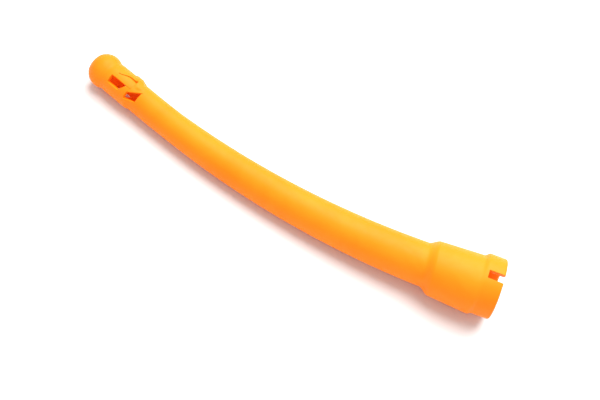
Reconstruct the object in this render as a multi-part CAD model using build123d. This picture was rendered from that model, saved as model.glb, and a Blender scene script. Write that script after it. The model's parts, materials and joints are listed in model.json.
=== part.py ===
from build123d import *
import math
import os

# Dipstick guide tube: a moulded plastic funnel that carries a steel oil dipstick down to the
# engine's steel dipstick tube. Lengths are in mm. Positions called "at" run along the centreline
# from the face of the small end. Angles called "turn" run about the centreline, from the side
# that faces up when the part lies down, towards the inside of the bend.

# ---- overall ----
OVERALL = 196.5
BEND_START = 30.0
BEND_END = 163.0
BEND = 18.8
REST_ROLL = 15.599  # the belly of the bend sinks until it touches the surface
REST_PITCH = 1.513  # the small end lies lower than the wide one
GAP = 0.3  # clearance around the flexing tongues

# ---- small end: bead, windowed sleeve, tongues and raised pads ----
BEAD_R = 7.7
BEAD_AT = 4.9
BEAD_HALF_LENGTH = 6.9
BEAD_END = 8.4
STEEL_TUBE_R = 5.05
LEAD_IN = 0.5
SLEEVE_R = 6.9
NECK_R = 6.65
NECK_LENGTH = 2.0
SLEEVE_STEP_AT = 22.6
SLEEVE_STEP_LENGTH = 1.0
SLOT_WINDOW = (11.4, 18.6, -37.0, -5.0)  # from, to, lowest turn, highest turn
POCKET = (13.0, 22.4, -5.5, 36.0)
REAR_WINDOW_TURN = -18.0
REAR_WINDOW = ((21.5, -3.5), (21.4, 0.0), (26.2, 3.5), (27.3, -1.6))  # at, offset across the wall
TONGUE_THICK = 0.95
TONGUE_ROOT_R = 6.75
TONGUE_TIP_R = 6.15
CATCH_LENGTH = 1.6
PAD = (18.4, 24.6, 38.0, 84.0)
PAD_R = 7.3
PAD_SLOPE = 0.35  # the pad's ends slope in by this much, so that it draws from the mould

# ---- tube ----
LOWER_R = 6.36
LOWER_BORE_R = 4.5
TAPER_START = 44.0
UPPER_R = 9.0
UPPER_BORE_R = 7.3

# ---- wide end: shoulder, socket and slotted rim collar ----
SHOULDER_AT = 165.6
SHOULDER_LENGTH = 4.2
SHOULDER_TILT = 7.6
SOCKET_R = 11.0  # the socket flares from the shoulder to the rim
SOCKET_END_R = 12.87
MOUTH_BORE_R = 9.7
THROAT_AT = 166.0  # the bore widens from here to the seat that stops the dipstick's handle
SEAT_AT = 171.5
COLLAR_AT = 188.4
COLLAR_R = 12.6
RIM_TILT = 2.2  # the rim stands out further on the outside of the bend
COLLAR_OFFSET = 1.2  # the collar is eccentric, towards the inside of the bend
COLLAR_ROUND = 0.9
RIM_BLANK_LENGTH = 14.0
RIM_SLOT_WIDTH = 3.3
RIM_SLOT_DEPTH = 6.6
RIM_SLOT_ROUND = 0.8
RIM_SLOT_OFFSET = 2.6  # from the centreline, towards the inside of the bend
MOUTH_LEAD_IN = 0.5

BEND_RADIUS = (BEND_END - BEND_START) / math.radians(BEND)


def station(at):
    """The plane square to the centreline: x to the inside of the bend, y up, z to the wide end."""
    turned = min(max(at - BEND_START, 0.0), BEND_END - BEND_START) / BEND_RADIUS
    start = math.radians(-BEND / 2)
    heading = start + turned
    straight = min(at, BEND_START)
    x = straight * math.cos(start) + BEND_RADIUS * (math.sin(heading) - math.sin(start))
    y = straight * math.sin(start) - BEND_RADIUS * (math.cos(heading) - math.cos(start))
    past_bend = max(at - BEND_END, 0.0)
    x += past_bend * math.cos(heading)
    y += past_bend * math.sin(heading)
    inside = (-math.sin(heading), math.cos(heading), 0)
    return Plane((x, y, 0), x_dir=inside, z_dir=(math.cos(heading), math.sin(heading), 0))


def turned_profile(*edges):
    """A solid of revolution about the local z axis, from edges in the local xz plane."""
    return revolve(Plane.XZ * make_face(edges), Axis.Z)


def part_turn(corners, turn_from, turn_to):
    """A profile of (radius, at) corners, revolved only between two turns, in the small end's frame."""
    face = Plane.XZ * make_face(Polyline(*corners, close=True))
    return Rot(Z=90 - turn_to) * revolve(face, Axis.Z, turn_to - turn_from)


def sector(at_from, at_to, turn_from, turn_to):
    """A wedge through the whole wall between two positions and two turns."""
    corners = [(0, at_from), (BEAD_R, at_from), (BEAD_R, at_to), (0, at_to)]
    return part_turn(corners, turn_from, turn_to)


def other_side(shape):
    """The same feature on the opposite side of the plane of the bend."""
    return mirror(shape, Plane.XZ)


def bead_radius(at):
    return BEAD_R * math.sqrt(1 - ((at - BEAD_AT) / BEAD_HALF_LENGTH) ** 2)


def end_bead():
    """The rounded nose that leads the steel tube in."""
    front, rear = BEAD_AT / 2, (BEAD_AT + BEAD_END) / 2
    nose = ThreePointArc((bead_radius(0), 0), (bead_radius(front), front), (BEAD_R, BEAD_AT))
    back = ThreePointArc((BEAD_R, BEAD_AT), (bead_radius(rear), rear), (NECK_R, BEAD_END))
    inside = Polyline(
        (NECK_R, BEAD_END),
        (STEEL_TUBE_R, BEAD_END),
        (STEEL_TUBE_R, LEAD_IN),
        (STEEL_TUBE_R + LEAD_IN / 2, 0),
        (bead_radius(0), 0),
    )
    return turned_profile(nose, back, inside)


def window_cuts():
    """The slot window, the pocket that holds the tongue and the rear window, on the upper side."""
    slot = sector(*SLOT_WINDOW)
    pocket = sector(*POCKET)
    outward = Plane((0, 0, 0), x_dir=(0, 0, 1), z_dir=(0, 1, 0))
    rear = extrude(outward * make_face(Polyline(*REAR_WINDOW, close=True)), BEAD_R)
    return [slot, pocket, Rot(Z=-REAR_WINDOW_TURN) * rear]


def sleeve_wall():
    """The sleeve before its windows are cut."""
    outline = Polyline(
        (NECK_R, BEAD_END),
        (SLEEVE_R, BEAD_END + NECK_LENGTH),
        (SLEEVE_R, SLEEVE_STEP_AT),
        (LOWER_R, SLEEVE_STEP_AT + SLEEVE_STEP_LENGTH),
        (LOWER_R, BEND_START),
        (STEEL_TUBE_R, BEND_START),
        (STEEL_TUBE_R, BEAD_END),
        close=True,
    )
    return turned_profile(outline)


def coupling_sleeve():
    """The windowed socket that the steel tube pushes into."""
    sleeve = sleeve_wall()
    for cut in window_cuts():
        sleeve = sleeve - cut - other_side(cut)
    return sleeve


def latch_tongue():
    """A tongue that slopes inwards from its root; its tip springs out over the steel tube."""
    root = POCKET[0] + GAP
    tip = POCKET[1] - GAP
    edge = math.degrees(GAP / SLEEVE_R)
    corners = [
        (TONGUE_ROOT_R - TONGUE_THICK, root),
        (TONGUE_ROOT_R, root),
        (TONGUE_TIP_R, tip),
        (STEEL_TUBE_R, tip),
        (STEEL_TUBE_R, tip - CATCH_LENGTH),
        (TONGUE_TIP_R - TONGUE_THICK, tip - CATCH_LENGTH - GAP),
    ]
    return part_turn(corners, POCKET[2] + edge, POCKET[3] - edge)


def release_pad():
    """The raised pad beside the rear window, where a finger presses to free the sleeve."""
    at_from, at_to, turn_from, turn_to = PAD
    buried = (STEEL_TUBE_R + LOWER_R) / 2
    corners = [
        (buried, at_from),
        (SLEEVE_R, at_from),
        (PAD_R, at_from + PAD_SLOPE),
        (PAD_R, at_to - PAD_SLOPE),
        (LOWER_R, at_to),
        (buried, at_to),
    ]
    return part_turn(corners, turn_from, turn_to) - sleeve_wall()


def tube_radii(at):
    """Outer and bore radius of the tube, which tapers evenly above its parallel lower run."""
    share = max(at - TAPER_START, 0.0) / (BEND_END - TAPER_START)
    outer = LOWER_R + (UPPER_R - LOWER_R) * share
    return outer, LOWER_BORE_R + (UPPER_BORE_R - LOWER_BORE_R) * share


def bent_tube(at_from, at_to):
    """A tube wall that follows the bend between two positions."""
    middle = (at_from + at_to) / 2
    path = ThreePointArc(*[station(at).origin for at in (at_from, middle, at_to)])
    rounds = []
    for side in range(2):
        ends = [station(at) * Circle(tube_radii(at)[side]) for at in (at_from, at_to)]
        rounds.append(sweep(ends, path=path, multisection=True))
    return rounds[0] - rounds[1]


def lower_tube():
    return bent_tube(BEND_START, TAPER_START)


def tapered_tube():
    """The long tapering run and its short straight neck, cut off at the shoulder's tilt."""
    neck = station(BEND_END) * extrude(Circle(UPPER_R), SEAT_AT - BEND_END)
    neck = split(neck, bisect_by=shoulder_plane(0), keep=Keep.BOTTOM)
    return bent_tube(TAPER_START, BEND_END) + (neck - mouth_bore())


def leaning_station(at, tilt):
    """A station whose z leans to the inside of the bend, by the tilt in degrees."""
    return Plane(station(at).location * Rot(Y=tilt))


def shoulder_plane(past):
    return leaning_station(SHOULDER_AT + past, SHOULDER_TILT)


def collar_plane():
    return leaning_station(COLLAR_AT, RIM_TILT)


def rim_plane():
    return leaning_station(OVERALL, RIM_TILT)


def shoulder_oval(plane, radius):
    """Where a round wall meets the tilted plane."""
    return plane * Ellipse(radius / math.cos(math.radians(SHOULDER_TILT)), radius)


def socket_shoulder():
    """The tilted step from the tube out to the socket."""
    start = shoulder_plane(0)
    end = shoulder_plane(SHOULDER_LENGTH)
    return loft([shoulder_oval(start, UPPER_R), shoulder_oval(end, SOCKET_R)]) - mouth_bore()


def mouth_socket():
    """The wide body that the dipstick's handle drops into."""
    ends = [station(SHOULDER_AT) * Circle(SOCKET_R), station(OVERALL) * Circle(SOCKET_END_R)]
    rough = loft(ends)
    body = split(rough, bisect_by=shoulder_plane(SHOULDER_LENGTH), keep=Keep.TOP)
    body = split(body, bisect_by=collar_plane(), keep=Keep.BOTTOM)
    return body - mouth_bore()


def mouth_bore():
    """The bore of the wide end: neck, cone, and the straight run above the seat."""
    neck = station(BEND_END) * extrude(Circle(UPPER_BORE_R), THROAT_AT - BEND_END)
    seat = station(SEAT_AT) * Circle(MOUTH_BORE_R)
    cone = loft([station(THROAT_AT) * Circle(UPPER_BORE_R), seat])
    past_rim = OVERALL - SEAT_AT + COLLAR_R
    return neck + cone + station(SEAT_AT) * extrude(Circle(MOUTH_BORE_R), past_rim)


def rim_collar():
    """The eccentric rim with a slot in its upper and its lower side."""
    end = rim_plane()
    blank = end * Pos(COLLAR_OFFSET, 0, 0) * extrude(Circle(COLLAR_R), -RIM_BLANK_LENGTH)
    blank = fillet(blank.edges().sort_by(Axis.X)[-1], COLLAR_ROUND)
    collar = split(blank, bisect_by=collar_plane(), keep=Keep.TOP) - mouth_bore()
    rim_face = collar.faces().sort_by(Axis(end.origin, end.z_dir))[-1]
    collar = chamfer(rim_face.inner_wires()[0].edges(), MOUTH_LEAD_IN)
    side = Plane(end.origin, x_dir=end.x_dir, z_dir=end.y_dir)
    slot = RectangleRounded(RIM_SLOT_WIDTH, RIM_SLOT_DEPTH * 2, RIM_SLOT_ROUND)
    across = side * Pos(RIM_SLOT_OFFSET, 0, 0) * slot
    return collar - extrude(across, COLLAR_R * 2, both=True)


def small_end(shape):
    return station(0).location * shape


def all_parts():
    tongue = latch_tongue()
    pad = release_pad()
    return {
        "end_bead": small_end(end_bead()),
        "coupling_sleeve": small_end(coupling_sleeve()),
        "latch_tongue_upper": small_end(tongue),
        "latch_tongue_lower": small_end(other_side(tongue)),
        "release_pad_upper": small_end(pad),
        "release_pad_lower": small_end(other_side(pad)),
        "lower_tube": lower_tube(),
        "tapered_tube": tapered_tube(),
        "socket_shoulder": socket_shoulder(),
        "mouth_socket": mouth_socket(),
        "rim_collar": rim_collar(),
    }


def main():
    lying = Rot(Y=-REST_PITCH) * Rot(X=REST_ROLL)
    parts = {name: lying * shape for name, shape in all_parts().items()}
    box = Compound(list(parts.values())).bounding_box()
    to_origin = Pos(-box.center().X, -box.center().Y, -box.min.Z)
    for name, shape in parts.items():
        export_step(to_origin * shape, f"parts/{name}.step")


os.makedirs("parts", exist_ok=True)
main()
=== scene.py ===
import json
import math

import bmesh
import bpy
import numpy as np
from mathutils import Matrix, Vector


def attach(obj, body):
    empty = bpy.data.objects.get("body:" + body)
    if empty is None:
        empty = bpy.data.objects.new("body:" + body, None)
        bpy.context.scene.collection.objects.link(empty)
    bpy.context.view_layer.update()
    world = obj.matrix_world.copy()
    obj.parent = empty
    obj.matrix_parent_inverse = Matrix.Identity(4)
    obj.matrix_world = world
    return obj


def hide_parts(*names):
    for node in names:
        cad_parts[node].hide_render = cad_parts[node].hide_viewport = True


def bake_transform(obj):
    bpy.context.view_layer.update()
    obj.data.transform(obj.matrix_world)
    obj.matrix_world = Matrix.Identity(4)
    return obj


# Looks of a moulded plastic dipstick guide tube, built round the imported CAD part.
# Lengths are in mm until a mesh is made. "at" is the distance along the centreline from the
# small end's face. "turn" is the angle about the centreline in degrees, from the upper side
# towards the inside of the bend. The floor, the light and the camera are in metres.

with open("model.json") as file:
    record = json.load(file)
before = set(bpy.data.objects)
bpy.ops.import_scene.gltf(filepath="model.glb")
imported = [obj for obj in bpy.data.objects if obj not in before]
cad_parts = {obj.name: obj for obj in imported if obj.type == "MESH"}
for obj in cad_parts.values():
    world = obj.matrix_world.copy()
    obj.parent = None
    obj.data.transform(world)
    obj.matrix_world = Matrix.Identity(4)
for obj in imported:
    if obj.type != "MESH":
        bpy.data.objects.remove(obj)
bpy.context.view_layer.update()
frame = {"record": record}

MM = 0.001

# ---- driving dimensions, as in the CAD part ----
OVERALL = 196.5
BEND_START, BEND_END = 30.0, 163.0
SMALL_MOUNT_AT = 15.3
BEAD_R, BEAD_AT, BEAD_HALF_LENGTH, BEAD_END = 7.7, 4.9, 6.9, 8.4
NECK_R, NECK_END, SLEEVE_R, LOWER_R = 6.65, 10.4, 6.9, 6.36
SLEEVE_STEP = (22.3, 24.0)
NECK_SOFT, NECK_REACH = 0.25, 2.0  # how softly the bead runs into the neck, and how far
TAPER_START = 44.0
UPPER_R = 9.0
SHOULDER_AT, SHOULDER_LENGTH, SHOULDER_TILT, SHOULDER_EASE = 165.6, 4.2, 7.6, 0.2
SOCKET_R, SOCKET_END_R = 11.0, 12.87
COLLAR_AT, COLLAR_R, COLLAR_OFFSET = 188.4, 12.6, 1.2
COLLAR_ROUND, COLLAR_RISE, RIM_TILT = 0.9, 2.2, 2.2
RIM_SLOT_FROM, RIM_SLOT_WIDTH, RIM_SLOT_OFFSET = 189.9, 3.3, 2.6
STEEL_TUBE_R, MOUTH_BORE_R, LEAD_IN = 5.05, 9.7, 0.5
PASSAGE_R, THROAT_R, THROAT_AT, SEAT_AT = 4.5, 7.3, 166.0, 171.5
BORE = (  # at, radius
    (0.0, STEEL_TUBE_R + 0.25),
    (LEAD_IN, STEEL_TUBE_R),
    (BEND_START, STEEL_TUBE_R),
    (BEND_START + 0.6, PASSAGE_R),
    (TAPER_START, PASSAGE_R),
    (BEND_END, THROAT_R),
    (THROAT_AT, THROAT_R),
    (SEAT_AT, MOUTH_BORE_R),
)

# ---- windows of the small end: from, to, lowest turn, highest turn ----
SLOT_WINDOW = (11.4, 18.6, -37.0, -5.5)
POCKET = (13.0, 22.1, -5.5, 36.0)
REAR_WINDOW = (21.5, 26.9, -48.5, -18.0)
POCKET_NARROWING, POCKET_WIDENS = 20.0, 5.5  # the pocket is narrower near the bead
PAD = (18.4, 24.6, 38.0, 84.0)
PAD_RIDGE = ((19.4, 80.0), (24.0, 28.0))  # at and turn of its two ends
PAD_HEIGHT, PAD_HALF_WIDTH, PAD_SOFT = 0.5, 1.1, 1.3
PARTING_RIDGE, PARTING_HALF_TURN, PARTING_END = 0.05, 1.0, OVERALL - 6
EDGE_ROUND, SHARP_ANGLE = 0.24, 40.0
RIM_ROUND_STEPS = 4

# ---- mesh lines round the tube, on the upper half, and how many columns lie between them ----
SLEEVE_LINES = (-90.0, -48.5, -37.0, -18.0, -5.5, 36.0, 90.0)
EDGE_LEAN = (0, 2.9, 4.1, 6.3, 5.0, 1.8, 0)  # degrees per mm, past the pocket's end
COLUMNS_BETWEEN = (12, 4, 6, 4, 14, 20)
SLOT_EDGES = RIM_SLOT_OFFSET - RIM_SLOT_WIDTH / 2, RIM_SLOT_OFFSET + RIM_SLOT_WIDTH / 2
SLOT_TURNS = [math.degrees(math.asin((edge - COLLAR_OFFSET) / COLLAR_R)) for edge in SLOT_EDGES]
HEAD_LINES = (-90.0, *SLOT_TURNS, 90.0)
HEAD_COLUMNS_BETWEEN = (29, 6, 25)
HEAD_COLUMNS_FROM, HEAD_COLUMNS_OVER = 50.0, 90.0  # where the sleeve's columns turn into the head's
SLOT_REACH = 60.0  # the bore's columns up to this turn move for the rim slots
SLOT_COLUMNS_FROM, SLOT_COLUMNS_OVER = COLLAR_AT - 8, 6.0

# ---- mesh lines along the tube: mark, and the longest step up to the next mark ----
SHOULDER_FOOT, COLLAR_FOOT = SHOULDER_AT - 2.6, COLLAR_AT - 2.4
MARKS = (
    (0.0, 0.55),
    (BEAD_END, 0.8),
    (SLOT_WINDOW[0], 0.8),
    (POCKET[0], 0.75),
    (SLOT_WINDOW[1], 0.7),
    (REAR_WINDOW[0], 0.6),
    (POCKET[1], 0.7),
    (REAR_WINDOW[1], 0.9),
    (BEND_START, 1.4),
    (TAPER_START, 2.4),
    (SHOULDER_FOOT, 0.5),
    (SHOULDER_AT, 0.3),
    (SHOULDER_AT + SHOULDER_LENGTH, 1.2),
    (COLLAR_FOOT, 0.4),
    (COLLAR_AT, 0.4),
    (RIM_SLOT_FROM, 0.9),
    (OVERALL - COLLAR_ROUND, 0),
)
WINDOW_SLANT = ((-90, -37, -5.5, 36, 90), (0, -1.3, 1.0, 0, 0))  # turns, and mm along the tube there
TILTS = (  # at, and how far the mesh lines lean there in degrees
    (148.0, 0.0),
    (SHOULDER_FOOT, -SHOULDER_TILT),
    (SHOULDER_AT + 4, -SHOULDER_TILT),
    (COLLAR_AT - 3, -RIM_TILT),
)
OWNERS = (  # end, and the CAD node up to there
    (BEAD_END, "end_bead"),
    (BEND_START, "coupling_sleeve"),
    (TAPER_START, "lower_tube"),
    (SHOULDER_AT, "tapered_tube"),
    (SHOULDER_AT + SHOULDER_LENGTH, "socket_shoulder"),
    (COLLAR_AT, "mouth_socket"),
    (OVERALL, "rim_collar"),
)


def unit(v):
    return v / np.linalg.norm(v)


def smooth(x):
    x = np.clip(x, 0, 1)
    return x * x * (3 - 2 * x)


def slope(degrees):
    return math.tan(math.radians(degrees))


# ---- the centreline, worked out from the record's two bore mounts ----
mounts = {mount["name"]: mount for mount in frame["record"]["mounts"]}
small_mount, wide_mount = mounts["steel_tube_socket"], mounts["handle_socket"]
AXIS = -unit(np.array(small_mount["axis"]))
WIDE_AXIS = unit(np.array(wide_mount["axis"]))
BEND = math.acos(AXIS @ WIDE_AXIS)
BEND_RADIUS = (BEND_END - BEND_START) / BEND
INSIDE = unit(WIDE_AXIS - (WIDE_AXIS @ AXIS) * AXIS)
UPPER = np.cross(AXIS, INSIDE)
START = np.array(small_mount["pos_m"]) / MM - AXIS * SMALL_MOUNT_AT


def place(at, turn, radius, offset=0.0):
    """Points on a ring about the centreline, in mm in the row frame."""
    at, turn, radius, offset = np.broadcast_arrays(at, np.radians(turn), radius, offset)
    bent = (np.clip(at, BEND_START, BEND_END) - BEND_START) / BEND_RADIUS
    along = np.cos(bent)[..., None] * AXIS + np.sin(bent)[..., None] * INSIDE
    inside = np.cos(bent)[..., None] * INSIDE - np.sin(bent)[..., None] * AXIS
    centre = START + np.minimum(at, BEND_START)[..., None] * AXIS
    round_bend = np.sin(bent)[..., None] * AXIS + (1 - np.cos(bent))[..., None] * INSIDE
    centre = centre + BEND_RADIUS * round_bend
    centre = centre + np.maximum(at - BEND_END, 0)[..., None] * along
    sideways = (offset + radius * np.sin(turn))[..., None] * inside
    return centre + sideways + (radius * np.cos(turn))[..., None] * UPPER


def folded(turn):
    """The turn of the same feature on the upper side: the two sides mirror each other."""
    turn = (np.asarray(turn) + 90) % 360 - 90
    return np.where(turn > 90, 180 - turn, turn)


# ---- the outside of the moulding ----
def collar_share(at, turn):
    plane = COLLAR_AT - slope(RIM_TILT) * COLLAR_R * np.sin(np.radians(turn))
    return smooth((at - plane) / COLLAR_RISE + 0.5)


def pad_height(at, turn):
    """A smooth lobe along a slanting ridge."""
    across = SLEEVE_R * np.radians(folded(turn))
    (a0, t0), (a1, t1) = PAD_RIDGE
    t0, t1 = SLEEVE_R * math.radians(t0), SLEEVE_R * math.radians(t1)
    length = math.hypot(a1 - a0, t1 - t0)
    share = np.clip(((at - a0) * (a1 - a0) + (across - t0) * (t1 - t0)) / length**2, 0, 1)
    away = np.hypot(at - a0 - share * (a1 - a0), across - t0 - share * (t1 - t0))
    return PAD_HEIGHT * smooth(1 - (away - PAD_HALF_WIDTH) / PAD_SOFT)


def outer_radius(at, turn):
    bead = BEAD_R * np.sqrt(np.maximum(1 - ((at - BEAD_AT) / BEAD_HALF_LENGTH) ** 2, 0))
    sleeve = NECK_R + (SLEEVE_R - NECK_R) * smooth((at - BEAD_END) / (NECK_END - BEAD_END))
    step = smooth((at - SLEEVE_STEP[0]) / (SLEEVE_STEP[1] - SLEEVE_STEP[0]))
    sleeve = sleeve + (LOWER_R - SLEEVE_R) * step
    tapered = np.clip((at - TAPER_START) / (BEND_END - TAPER_START), 0, 1)
    tube = LOWER_R + (UPPER_R - LOWER_R) * tapered
    body = np.where(at < BEND_START, sleeve, tube)
    joined = (bead + body) / 2 + np.sqrt(((bead - body) / 2) ** 2 + NECK_SOFT**2 / 4)
    body = np.where(at < BEAD_AT, bead, np.where(at < NECK_END + NECK_REACH, joined, body))
    shoulder = SHOULDER_AT - slope(SHOULDER_TILT) * UPPER_R * np.sin(np.radians(turn))
    flared = np.clip((at - SHOULDER_AT) / (OVERALL - SHOULDER_AT), 0, 1)
    socket = SOCKET_R + (SOCKET_END_R - SOCKET_R) * flared
    risen = smooth((at - shoulder + SHOULDER_EASE) / (SHOULDER_LENGTH + 2 * SHOULDER_EASE))
    body = body + (socket - body) * risen
    body = body + (COLLAR_R - body) * collar_share(at, turn)
    on_line = np.abs(np.abs(folded(turn)) - 90) < PARTING_HALF_TURN
    ridge = PARTING_RIDGE * on_line * (at > BEAD_END) * (at < PARTING_END)
    return body + pad_height(at, turn) + ridge


def bore_radius(at):
    return np.interp(at, *zip(*BORE))


# ---- mesh lines ----
def spread(lines, counts):
    """Turns of the columns on the upper half, then the same on the lower half."""
    upper = [a + (b - a) * k / n for a, b, n in zip(lines, lines[1:], counts) for k in range(n)]
    return np.array(upper + [180 - t for t in [lines[-1]] + upper[:0:-1]])


SLEEVE_TURNS = spread(SLEEVE_LINES, COLUMNS_BETWEEN)
HEAD_TURNS = spread(HEAD_LINES, HEAD_COLUMNS_BETWEEN)
N = len(SLEEVE_TURNS)  # columns all the way round


def stations():
    marks = []
    for (a, step), (b, _) in zip(MARKS, MARKS[1:]):
        count = math.ceil((b - a) / step)
        marks += [a + (b - a) * k / count for k in range(count)]
    return np.array(marks + [MARKS[-1][0]])


LINES = stations()


def line_middle(i):
    return (LINES[i] + LINES[i + 1]) / 2


def side_sign(turns):
    return np.where(np.cos(np.radians(turns)) < 0, -1, 1)


def slanted(line, base):
    """Where a ring of the mesh runs at each column, so that it follows the slanting edges."""
    slant = np.interp(folded(base), *WINDOW_SLANT)
    share = np.interp(line, (SLOT_WINDOW[0], SLOT_WINDOW[1], POCKET[1]), (0, 1, 0))
    tilt = np.interp(line, [at for at, _ in TILTS], [slope(degrees) for _, degrees in TILTS])
    reach = np.interp(line, (SHOULDER_AT, COLLAR_AT), (UPPER_R, COLLAR_R))
    return line + slant * share + tilt * reach * np.sin(np.radians(base))


def pocket_top(at):
    return POCKET[3] - POCKET_NARROWING * (1 - smooth((at - POCKET[0]) / POCKET_WIDENS))


def column_turns(line):
    """Turns of all the columns at one line: the windows' edges slant, and the head has its own."""
    lean = np.interp(folded(SLEEVE_TURNS), SLEEVE_LINES, EDGE_LEAN)
    lean_marks = (POCKET[1], REAR_WINDOW[1], HEAD_COLUMNS_FROM)
    past = np.interp(line, lean_marks, (0, REAR_WINDOW[1] - POCKET[1], 0))
    edge_turns = (POCKET[2], POCKET[3], 90)
    narrowed = np.interp(folded(SLEEVE_TURNS), edge_turns, (0, pocket_top(line) - POCKET[3], 0))
    sleeve = SLEEVE_TURNS + (lean * past + narrowed) * side_sign(SLEEVE_TURNS)
    share = smooth((line - HEAD_COLUMNS_FROM) / HEAD_COLUMNS_OVER)
    return sleeve * (1 - share) + HEAD_TURNS * share


def bore_turns(line, turns):
    """The rim slots' walls are parallel, so the bore's columns there stand at other turns."""
    edges = np.degrees(np.arcsin(np.array(SLOT_EDGES) / MOUTH_BORE_R))
    kept, moved = [(-SLOT_REACH, *slot, SLOT_REACH) for slot in (SLOT_TURNS, edges)]
    shift = np.interp(folded(turns), kept, moved) - folded(turns)
    share = smooth((line - SLOT_COLUMNS_FROM) / SLOT_COLUMNS_OVER)
    return turns + shift * share * side_sign(turns) * (np.abs(folded(turns)) < SLOT_REACH)


def skin_lines():
    """Rings of points: on the outside from the small end to the rim, over the rim, and in the bore."""
    outside, bore = [], []
    for line in LINES:
        turns = column_turns(line)
        at = slanted(line, turns if line > TAPER_START else SLEEVE_TURNS)
        offset = COLLAR_OFFSET * collar_share(at, turns)
        outside.append(place(at, turns, outer_radius(at, turns), offset))
        inner = bore_turns(line, turns)
        bore.append(place(at, inner, bore_radius(at)))
    rim = []
    turns = column_turns(OVERALL)
    lean_in = slope(RIM_TILT) * np.sin(np.radians(turns))
    for k in range(1, RIM_ROUND_STEPS + 1):
        lean = math.pi / 2 * k / RIM_ROUND_STEPS
        at = OVERALL - COLLAR_ROUND * (1 - math.sin(lean)) - lean_in * COLLAR_R
        rim.append(place(at, turns, COLLAR_R - COLLAR_ROUND * (1 - math.cos(lean)), COLLAR_OFFSET))
    inner = bore_turns(OVERALL, turns)
    lip = OVERALL - lean_in * MOUTH_BORE_R
    rim.append(place(lip, inner, MOUTH_BORE_R + LEAD_IN))
    rim.append(place(lip - LEAD_IN, inner, MOUTH_BORE_R))
    return outside, rim, bore


def owner_of(line, base):
    """The CAD node that a cell of the outside stands for."""
    if PAD[0] < line < PAD[1] and PAD[2] < folded(base) < PAD[3]:
        side = "upper" if math.cos(math.radians(base)) > 0 else "lower"
        return f"release_pad_{side}"
    return next(name for end, name in OWNERS if line < end)


def is_open(line, base, head):
    """Whether the cell with this middle lies in a window or in a rim slot."""
    if line > RIM_SLOT_FROM:
        return SLOT_TURNS[0] < folded(head) < SLOT_TURNS[1]
    windows = (SLOT_WINDOW, POCKET, REAR_WINDOW)
    return any(a < line < b and low < folded(base) < high for a, b, low, high in windows)


def middle(values, j):
    step = (values[(j + 1) % N] - values[j]) % 360
    return values[j] + step / 2


def build_skin():
    """The whole moulding as one closed bmesh whose faces remember their CAD node."""
    outside, rim, bore = skin_lines()
    rows = outside + rim + bore[::-1]
    last = len(outside) - 1
    first_bore = len(outside) + len(rim)
    bm = bmesh.new()
    owner = bm.faces.layers.int.new("owner")
    verts = [[bm.verts.new(p * MM) for p in row] for row in rows]
    names = []

    def add(corners, name):
        if name not in names:
            names.append(name)
        face = bm.faces.new(corners)
        face[owner] = names.index(name)
        return face

    def mirror_row(i):
        return len(rows) - 1 - i

    opened = {}
    for i in range(last):
        for j in range(N):
            opened[i, j] = is_open(line_middle(i), middle(SLEEVE_TURNS, j), middle(HEAD_TURNS, j))
    for i in range(len(rows)):
        k = (i + 1) % len(rows)
        cell = i if i < last else mirror_row(k) if i >= first_bore and k > i else None
        for j in range(N):
            if cell is None:
                over_rim = last <= i < first_bore
                if over_rim and opened[last - 1, j]:
                    continue
                name = "rim_collar" if over_rim else "end_bead"
            else:
                if opened[cell, j]:
                    continue
                name = owner_of(line_middle(cell), middle(SLEEVE_TURNS, j))
                if i >= first_bore and name.startswith("release_pad"):
                    name = "coupling_sleeve"
            add((verts[i][j], verts[k][j], verts[k][(j + 1) % N], verts[i][(j + 1) % N]), name)
    walls = []
    for (i, j), is_hole in opened.items():
        if not is_hole:
            continue
        name = "rim_collar" if line_middle(i) > RIM_SLOT_FROM else "coupling_sleeve"
        right = (j + 1) % N
        near, far = verts[i], verts[i + 1]
        near_bore, far_bore = verts[mirror_row(i)], verts[mirror_row(i + 1)]
        if not opened.get((i - 1, j), False):
            walls.append(add((near[j], near[right], near_bore[right], near_bore[j]), name))
        if i + 1 < last and not opened[i + 1, j]:
            walls.append(add((far[j], far[right], far_bore[right], far_bore[j]), name))
        for column, beside in ((j, (j - 1) % N), (right, right)):
            if opened[i, beside]:
                continue
            ring = near[column], far[column], far_bore[column], near_bore[column]
            walls.append(add(ring, name))
            if i + 1 == last:
                cap = [verts[row][column] for row in range(last, first_bore + 1)]
                walls.append(add(cap, name))
    bmesh.ops.recalc_face_normals(bm, faces=bm.faces)
    if bm.calc_volume(signed=True) < 0:
        bmesh.ops.reverse_faces(bm, faces=bm.faces)
    round_edges(bm, walls, EDGE_ROUND * MM)
    return bm, names


def round_edges(bm, walls, width):
    """Rounds the sharp edges of the given faces."""
    sharp = math.radians(SHARP_ANGLE)
    edges = {edge for face in walls for edge in face.edges}
    edges = [edge for edge in edges if len(edge.link_faces) == 2 and edge.calc_face_angle() > sharp]
    bmesh.ops.bevel(
        bm,
        geom=edges,
        offset=width,
        segments=3,
        profile=0.5,
        affect="EDGES",
        clamp_overlap=True,
        material=-1,
    )


def weighted_normals(bm):
    """Vertex normals weighted by area: rounded edges then don't shade the flat faces beside them."""
    bm.normal_update()
    normals = {}
    for vert in bm.verts:
        total = sum((face.normal * face.calc_area() for face in vert.link_faces), Vector())
        normals[vert.index] = total.normalized()
    return normals


def mesh_object(name, points, faces, normals):
    mesh = bpy.data.meshes.new(name)
    mesh.from_pydata(points, [], faces)
    mesh.polygons.foreach_set("use_smooth", [True] * len(faces))
    mesh.normals_split_custom_set_from_vertices(normals)
    obj = bpy.data.objects.new(name, mesh)
    bpy.context.scene.collection.objects.link(obj)
    return obj


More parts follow.
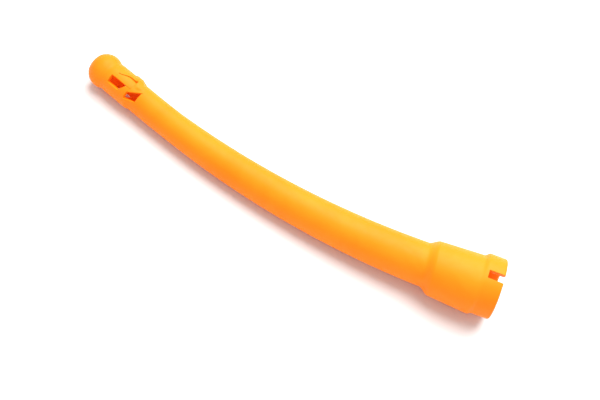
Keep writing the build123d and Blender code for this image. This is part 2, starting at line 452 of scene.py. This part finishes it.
def split_pieces(bm, names):
    """One object for each CAD node, which keep the shading of the whole moulding."""
    bm.verts.index_update()
    bm.verts.ensure_lookup_table()
    normals = weighted_normals(bm)
    owner = bm.faces.layers.int["owner"]
    pieces = {}
    for number, name in enumerate(names):
        faces = [face for face in bm.faces if face[owner] == number]
        used = sorted({vert.index for face in faces for vert in face.verts})
        local = {index: k for k, index in enumerate(used)}
        points = [bm.verts[index].co.copy() for index in used]
        polygons = [[local[vert.index] for vert in face.verts] for face in faces]
        shading = [normals[index] for index in used]
        pieces[name] = mesh_object(f"{name}_skin", points, polygons, shading)
    bm.free()
    return pieces


# ---- the tongues ----
TONGUE_GAP = 0.1
TONGUE_ROOT_R, TONGUE_TIP_R, TONGUE_THICK = 6.85, 6.1, 0.95
CATCH_LENGTH, CATCH_FRONT = 1.6, 0.3
ROOT_SUNK, ROOT_FLEX = 0.4, 3.0  # how far the root runs into the sleeve, and a length along the tongue from the pocket's start
TONGUE_COLUMNS, TONGUE_RINGS = 12, 13
TONGUE_EDGE_ROUND = EDGE_ROUND * 0.7


def tongue(side):
    """A curved strip that slopes in from its root, with a catch under its tip."""
    root, tip = POCKET[0] - ROOT_SUNK, POCKET[1] - TONGUE_GAP
    catch_start = tip - CATCH_LENGTH
    ats = list(np.linspace(root, catch_start - CATCH_FRONT, TONGUE_RINGS))
    ats += [catch_start, tip - CATCH_LENGTH / 2, tip]
    gap = math.degrees(TONGUE_GAP / SLEEVE_R)
    top, under = [], []
    for at in ats:
        turns = np.linspace(POCKET[2] + gap, pocket_top(at) - gap, TONGUE_COLUMNS + 1)
        turns = turns if side == "upper" else 180 - turns
        radius = np.interp(at, (root, tip), (TONGUE_ROOT_R, TONGUE_TIP_R))
        top.append(place(at, turns, radius))
        on_catch = at > catch_start - CATCH_FRONT / 2
        under.append(place(at, turns, STEEL_TUBE_R if on_catch else radius - TONGUE_THICK))
    bm = bmesh.new()
    rows = top + under[::-1]
    verts = [[bm.verts.new(p * MM) for p in row] for row in rows]
    count = len(rows)
    for i in range(count):
        for j in range(TONGUE_COLUMNS):
            k = (i + 1) % count
            bm.faces.new((verts[i][j], verts[k][j], verts[k][j + 1], verts[i][j + 1]))
    for j in (0, TONGUE_COLUMNS):
        for i in range(len(ats) - 1):
            ring = verts[i][j], verts[i + 1][j], verts[count - 2 - i][j], verts[count - 1 - i][j]
            bm.faces.new(ring)
    bmesh.ops.recalc_face_normals(bm, faces=bm.faces)
    round_edges(bm, list(bm.faces), TONGUE_EDGE_ROUND * MM)
    bm.verts.index_update()
    normals = weighted_normals(bm)
    points = [vert.co.copy() for vert in bm.verts]
    polygons = [[vert.index for vert in face.verts] for face in bm.faces]
    shading = [normals[k] for k in range(len(points))]
    obj = mesh_object(f"latch_tongue_{side}_strip", points, polygons, shading)
    bm.free()
    middle_turn = (POCKET[2] + POCKET[3]) / 2
    middle_turn = middle_turn if side == "upper" else 180 - middle_turn
    bend = POCKET[0], POCKET[0] + ROOT_FLEX
    held, free = [Vector(place(at, middle_turn, TONGUE_ROOT_R) * MM) for at in bend]
    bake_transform(obj)
    return obj


# ---- the plastic ----
ORANGES = ((0.93, 0.21, 0.004), (0.97, 0.245, 0.007))
ROUGHNESS = (0.38, 0.52)
NOISE_LOW, NOISE_HIGH = 0.3, 0.7
# Scale, detail and distortion of each noise, then strength and height in metres of each bump.
DRIFT_NOISE, GLOSS_NOISE, GRAIN_NOISE, WAVE_NOISE = (55, 4, 0.6), (420, 5, 0.3), (3800, 2), (160, 2)
GRAIN_BUMP, WAVE_BUMP = (0.25, 0.00004), (0.35, 0.0002)
# A weak painted glow: emission that lifts the shade, standing in for light that passes through the
# plastic. It shows most in the windows.
PAINTED_GLOW_COLOUR, PAINTED_GLOW_STRENGTH = (1.0, 0.12, 0.0, 1.0), 0.1


def moulded_orange():
    """Satin orange plastic: slow colour drift, fine grain, a slight unevenness in the gloss and a weak
    painted glow that lifts the shade.
    """
    material = bpy.data.materials.new("moulded_orange")
    material.use_nodes = True
    nodes, links = material.node_tree.nodes, material.node_tree.links
    shader = nodes["Principled BSDF"]
    place_node = nodes.new("ShaderNodeTexCoord").outputs["Object"]

    def noise(scale, detail, distortion=0.0):
        node = nodes.new("ShaderNodeTexNoise")
        node.inputs["Scale"].default_value = scale
        node.inputs["Detail"].default_value = detail
        node.inputs["Distortion"].default_value = distortion
        links.new(place_node, node.inputs["Vector"])
        return node.outputs["Fac"]

    def bump(height, strength, distance):
        node = nodes.new("ShaderNodeBump")
        node.inputs["Strength"].default_value = strength
        node.inputs["Distance"].default_value = distance
        links.new(height, node.inputs["Height"])
        return node

    drift = nodes.new("ShaderNodeValToRGB")
    for element, position, colour in zip(drift.color_ramp.elements, (NOISE_LOW, NOISE_HIGH), ORANGES):
        element.position = position
        element.color = (*colour, 1)
    links.new(noise(*DRIFT_NOISE), drift.inputs["Fac"])
    links.new(drift.outputs["Color"], shader.inputs["Base Color"])
    gloss = nodes.new("ShaderNodeMapRange")
    gloss.inputs["From Min"].default_value = NOISE_LOW
    gloss.inputs["From Max"].default_value = NOISE_HIGH
    gloss.inputs["To Min"].default_value = ROUGHNESS[0]
    gloss.inputs["To Max"].default_value = ROUGHNESS[1]
    links.new(noise(*GLOSS_NOISE), gloss.inputs["Value"])
    links.new(gloss.outputs["Result"], shader.inputs["Roughness"])
    grain = bump(noise(*GRAIN_NOISE), *GRAIN_BUMP)
    wave = bump(noise(*WAVE_NOISE), *WAVE_BUMP)
    links.new(grain.outputs["Normal"], wave.inputs["Normal"])
    links.new(wave.outputs["Normal"], shader.inputs["Normal"])
    shader.inputs["IOR"].default_value = 1.5
    shader.inputs["Specular IOR Level"].default_value = 0.12
    # Painted glow: a weak emission that lifts the shaded parts of the plastic.
    shader.inputs["Emission Color"].default_value = PAINTED_GLOW_COLOUR
    shader.inputs["Emission Strength"].default_value = PAINTED_GLOW_STRENGTH
    return material


plastic = moulded_orange()
skin, owners = build_skin()
for node, piece in split_pieces(skin, owners).items():
    piece.data.materials.append(plastic)
    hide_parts(node)
    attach(piece, "tube_body")
for side in ("upper", "lower"):
    strip = tongue(side)
    strip.data.materials.append(plastic)
    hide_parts(f"latch_tongue_{side}")


# ---- floor, light and camera ----
FLOOR_SIZE = 6.0
FLOOR_COLOUR = (0.78, 0.78, 0.78, 1)
DAYLIGHT = 0.77
KEY_POWER, KEY_SIZE = 6.5, 0.65
KEY_PLACE = (0.02, 0.24, 0.5)
CAMERA_AZIMUTH, CAMERA_ELEVATION, CAMERA_ROLL = 16.0, 59.0, 17.02
CAMERA_DISTANCE, CAMERA_LENS = 0.3732, 54.0
AIM = Vector((0.00925, -0.00465, 0.008))


def floor():
    mesh = bpy.data.meshes.new("floor")
    half = FLOOR_SIZE / 2
    corners = [(-half, -half, 0), (half, -half, 0), (half, half, 0), (-half, half, 0)]
    mesh.from_pydata(corners, [], [(0, 1, 2, 3)])
    obj = bpy.data.objects.new("floor", mesh)
    bpy.context.scene.collection.objects.link(obj)
    material = bpy.data.materials.new("paper")
    material.use_nodes = True
    shader = material.node_tree.nodes["Principled BSDF"]
    shader.inputs["Base Color"].default_value = FLOOR_COLOUR
    shader.inputs["Roughness"].default_value = 0.9
    shader.inputs["Specular IOR Level"].default_value = 0.1
    mesh.materials.append(material)


def lights():
    world = bpy.data.worlds.new("daylight")
    world.use_nodes = True
    world.node_tree.nodes["Background"].inputs["Color"].default_value = (1, 1, 1, 1)
    world.node_tree.nodes["Background"].inputs["Strength"].default_value = DAYLIGHT
    bpy.context.scene.world = world
    lamp = bpy.data.lights.new("softbox", "AREA")
    lamp.shape = "DISK"
    lamp.size = KEY_SIZE
    lamp.energy = KEY_POWER
    obj = bpy.data.objects.new("softbox", lamp)
    obj.location = KEY_PLACE
    obj.rotation_euler = (-Vector(KEY_PLACE)).to_track_quat("-Z", "Y").to_euler()
    bpy.context.scene.collection.objects.link(obj)


def camera():
    angles = CAMERA_AZIMUTH, CAMERA_ELEVATION, CAMERA_ROLL
    azimuth, elevation, roll = [math.radians(angle) for angle in angles]
    away = math.cos(elevation)
    back = Vector((math.sin(azimuth) * away, -math.cos(azimuth) * away, math.sin(elevation)))
    level = Vector((math.cos(azimuth), math.sin(azimuth), 0))
    up = back.cross(level)
    right = level * math.cos(roll) + up * math.sin(roll)
    up = up * math.cos(roll) - level * math.sin(roll)
    data = bpy.data.cameras.new("camera")
    data.lens = CAMERA_LENS
    data.clip_start = 0.01
    obj = bpy.data.objects.new("camera", data)
    turn = Matrix((right, up, back)).transposed().to_4x4()
    obj.matrix_world = Matrix.Translation(AIM + back * CAMERA_DISTANCE) @ turn
    bpy.context.scene.collection.objects.link(obj)
    bpy.context.scene.camera = obj


floor()
lights()
camera()
bpy.context.scene.view_settings.view_transform = "Standard"
